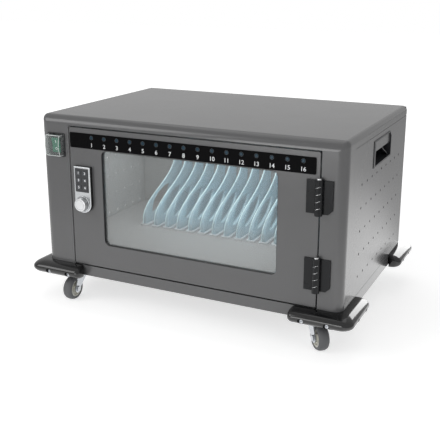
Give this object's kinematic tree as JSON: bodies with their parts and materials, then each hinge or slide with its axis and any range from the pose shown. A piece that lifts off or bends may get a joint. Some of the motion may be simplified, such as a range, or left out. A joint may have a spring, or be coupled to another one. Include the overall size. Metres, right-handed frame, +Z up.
{
  "type": "laptop charging cart",
  "caption": "Small steel cabinet on swivel casters with a lockable windowed door, rows of upright laptop slots, indicator lamps, corner bumpers and side carry handles.",
  "frame": {"origin": "on the floor, under the middle of the cart", "axes": "+X to the right, along the door; +Y to the back; +Z up"},
  "size_m": [0.718, 0.493, 0.402],
  "materials": {
    "shell_paint": "satin powder coat",
    "inner_paint": "satin powder coat",
    "bumper_plastic": "moulded, satin",
    "handle_plastic": "moulded, matte",
    "grip_steel": "grey paint",
    "fin_plastic": "translucent, light blue",
    "pad_plastic": "pale",
    "charger_plastic": "fine texture",
    "inlet_plastic": "black",
    "bezel_plastic": "black",
    "cover_plastic": "clear",
    "rocker_plastic": "green",
    "pane_plastic": "grey-tinted, clear",
    "strip_plastic": "black, printed",
    "lens_plastic": "clear dome",
    "board": "circuit board",
    "lock_chrome": "satin",
    "keypad_plastic": "dark inlay",
    "key_metal": "satin",
    "hinge_black": "black",
    "zinc": "bright zinc",
    "tyre_rubber": "grey, smooth",
    "hub_plastic": "off-white"
  },
  "bodies": {
    "cart": {"outer_shell": "shell_paint", "base_tray": "shell_paint", "rear_panel": "shell_paint", "inner_deck": "inner_paint", "rear_partition": "inner_paint", "laptop_dividers": "fin_plastic", "divider_feet": "pad_plastic", "power_supply": "charger_plastic", "mains_inlet": "inlet_plastic", "inlet_blades": "zinc", "switch_housing": "bezel_plastic", "switch_cover": "cover_plastic", "handle_cup_left": "handle_plastic", "handle_cup_right": "handle_plastic", "handle_grip_left": "grip_steel", "handle_grip_right": "grip_steel", "bumper_screws": "zinc", "bumper_front_left": "bumper_plastic", "caster_plate_front_left": "zinc", "bumper_front_right": "bumper_plastic", "caster_plate_front_right": "zinc", "bumper_rear_left": "bumper_plastic", "caster_plate_rear_left": "zinc", "bumper_rear_right": "bumper_plastic", "caster_plate_rear_right": "zinc", "hinge_frame_leaf_upper": "hinge_black", "hinge_pin_upper": "zinc", "hinge_frame_leaf_lower": "hinge_black", "hinge_pin_lower": "zinc"},
    "door": {"door_panel": "shell_paint", "window_pane": "pane_plastic", "window_frame": "shell_paint", "led_strip": "strip_plastic", "led_lenses": "lens_plastic", "led_board": "board", "lock_body": "lock_chrome", "keypad_plate": "keypad_plastic", "hinge_door_leaf_upper": "hinge_black", "hinge_door_leaf_lower": "hinge_black"},
    "lock_knob": {"lock_knob": "lock_chrome", "lock_cam": "zinc"},
    "power_rocker": {"switch_rocker": "rocker_plastic"},
    "key_1": {"lock_key_1": "key_metal"},
    "key_2": {"lock_key_2": "key_metal"},
    "key_3": {"lock_key_3": "key_metal"},
    "key_4": {"lock_key_4": "key_metal"},
    "key_5": {"lock_key_5": "key_metal"},
    "key_6": {"lock_key_6": "key_metal"},
    "fork_front_left": {"caster_fork_front_left": "zinc"},
    "wheel_front_left": {"wheel_tyre_front_left": "tyre_rubber", "wheel_hub_front_left": "hub_plastic"},
    "fork_front_right": {"caster_fork_front_right": "zinc"},
    "wheel_front_right": {"wheel_tyre_front_right": "tyre_rubber", "wheel_hub_front_right": "hub_plastic"},
    "fork_rear_left": {"caster_fork_rear_left": "zinc"},
    "wheel_rear_left": {"wheel_tyre_rear_left": "tyre_rubber", "wheel_hub_rear_left": "hub_plastic"},
    "fork_rear_right": {"caster_fork_rear_right": "zinc"},
    "wheel_rear_right": {"wheel_tyre_rear_right": "tyre_rubber", "wheel_hub_rear_right": "hub_plastic"}
  },
  "joints": [
    {"name": "door_hinge", "type": "hinge", "parent": "cart", "child": "door", "pos_m": [0.282, -0.2247, 0.226], "axis": [0, 0, 1], "range_deg": [0, 180]},
    {"name": "knob_turn", "type": "hinge", "parent": "door", "child": "lock_knob", "pos_m": [-0.2247, -0.2325, 0.22375], "axis": [0, 1, 0], "range_deg": [0, 90]},
    {"name": "rocker_tip", "type": "hinge", "parent": "cart", "child": "power_rocker", "pos_m": [-0.29, -0.213, 0.341], "axis": [1, 0, 0], "range_deg": [-14, 0]},
    {"name": "key_1_press", "type": "slide", "parent": "door", "child": "key_1", "axis": [0, 1, 0], "range_m": [0, 0.0014], "stiffness_N_per_m": 250},
    {"name": "key_2_press", "type": "slide", "parent": "door", "child": "key_2", "axis": [0, 1, 0], "range_m": [0, 0.0014], "stiffness_N_per_m": 250},
    {"name": "key_3_press", "type": "slide", "parent": "door", "child": "key_3", "axis": [0, 1, 0], "range_m": [0, 0.0014], "stiffness_N_per_m": 250},
    {"name": "key_4_press", "type": "slide", "parent": "door", "child": "key_4", "axis": [0, 1, 0], "range_m": [0, 0.0014], "stiffness_N_per_m": 250},
    {"name": "key_5_press", "type": "slide", "parent": "door", "child": "key_5", "axis": [0, 1, 0], "range_m": [0, 0.0014], "stiffness_N_per_m": 250},
    {"name": "key_6_press", "type": "slide", "parent": "door", "child": "key_6", "axis": [0, 1, 0], "range_m": [0, 0.0014], "stiffness_N_per_m": 250},
    {"name": "swivel_front_left", "type": "hinge", "parent": "cart", "child": "fork_front_left", "pos_m": [-0.272, -0.1895, 0.055], "axis": [0, 0, 1], "continuous": true},
    {"name": "wheel_spin_front_left", "type": "hinge", "parent": "fork_front_left", "child": "wheel_front_left", "pos_m": [-0.272, -0.2135, 0.025], "axis": [-1, 0, 0], "continuous": true},
    {"name": "swivel_front_right", "type": "hinge", "parent": "cart", "child": "fork_front_right", "pos_m": [0.272, -0.1895, 0.055], "axis": [0, 0, 1], "continuous": true},
    {"name": "wheel_spin_front_right", "type": "hinge", "parent": "fork_front_right", "child": "wheel_front_right", "pos_m": [0.28837, -0.20705, 0.025], "axis": [-0.7314, -0.682, 0], "continuous": true},
    {"name": "swivel_rear_left", "type": "hinge", "parent": "cart", "child": "fork_rear_left", "pos_m": [-0.272, 0.1895, 0.055], "axis": [0, 0, 1], "continuous": true},
    {"name": "wheel_spin_rear_left", "type": "hinge", "parent": "fork_rear_left", "child": "wheel_rear_left", "pos_m": [-0.26579, 0.16632, 0.025], "axis": [-0.9659, -0.2588, 0], "continuous": true},
    {"name": "swivel_rear_right", "type": "hinge", "parent": "cart", "child": "fork_rear_right", "pos_m": [0.272, 0.1895, 0.055], "axis": [0, 0, 1], "continuous": true},
    {"name": "wheel_spin_rear_right", "type": "hinge", "parent": "fork_rear_right", "child": "wheel_rear_right", "pos_m": [0.26379, 0.16695, 0.025], "axis": [-0.9397, 0.342, 0], "continuous": true}
  ]
}
